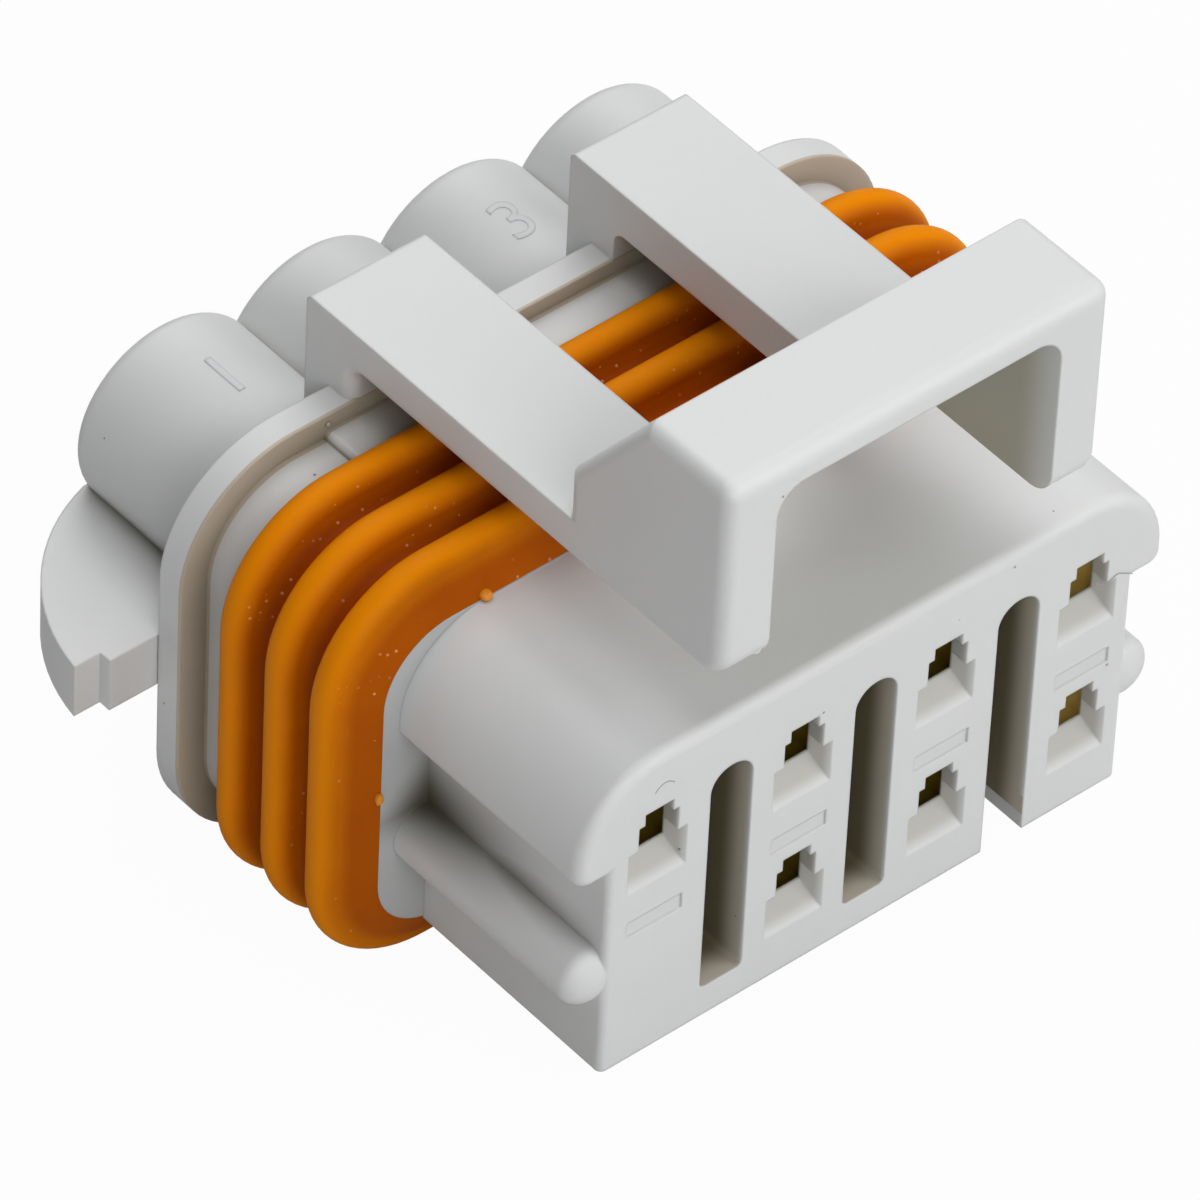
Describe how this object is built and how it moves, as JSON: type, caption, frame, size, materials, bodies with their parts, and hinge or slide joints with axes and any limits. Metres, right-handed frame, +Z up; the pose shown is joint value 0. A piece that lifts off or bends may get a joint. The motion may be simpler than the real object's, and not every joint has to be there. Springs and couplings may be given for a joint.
{
  "type": "sealed automotive connector",
  "caption": "Sealed rectangular female connector housing for wires, with round wire towers, a flange, a ribbed ring seal and an arched push latch.",
  "frame": {"origin": "under the middle of the part's box, on the surface it rests on", "axes": "+X along the four columns, +Y from the mating face to the wire side, +Z up to the latch"},
  "size_m": [0.0418, 0.0308, 0.031],
  "materials": {
    "housing": "satin, moulded",
    "ring_seal": "semi-gloss silicone"
  },
  "bodies": {
    "root": {"housing": "housing", "ring_seal": "ring_seal"}
  },
  "joints": []
}
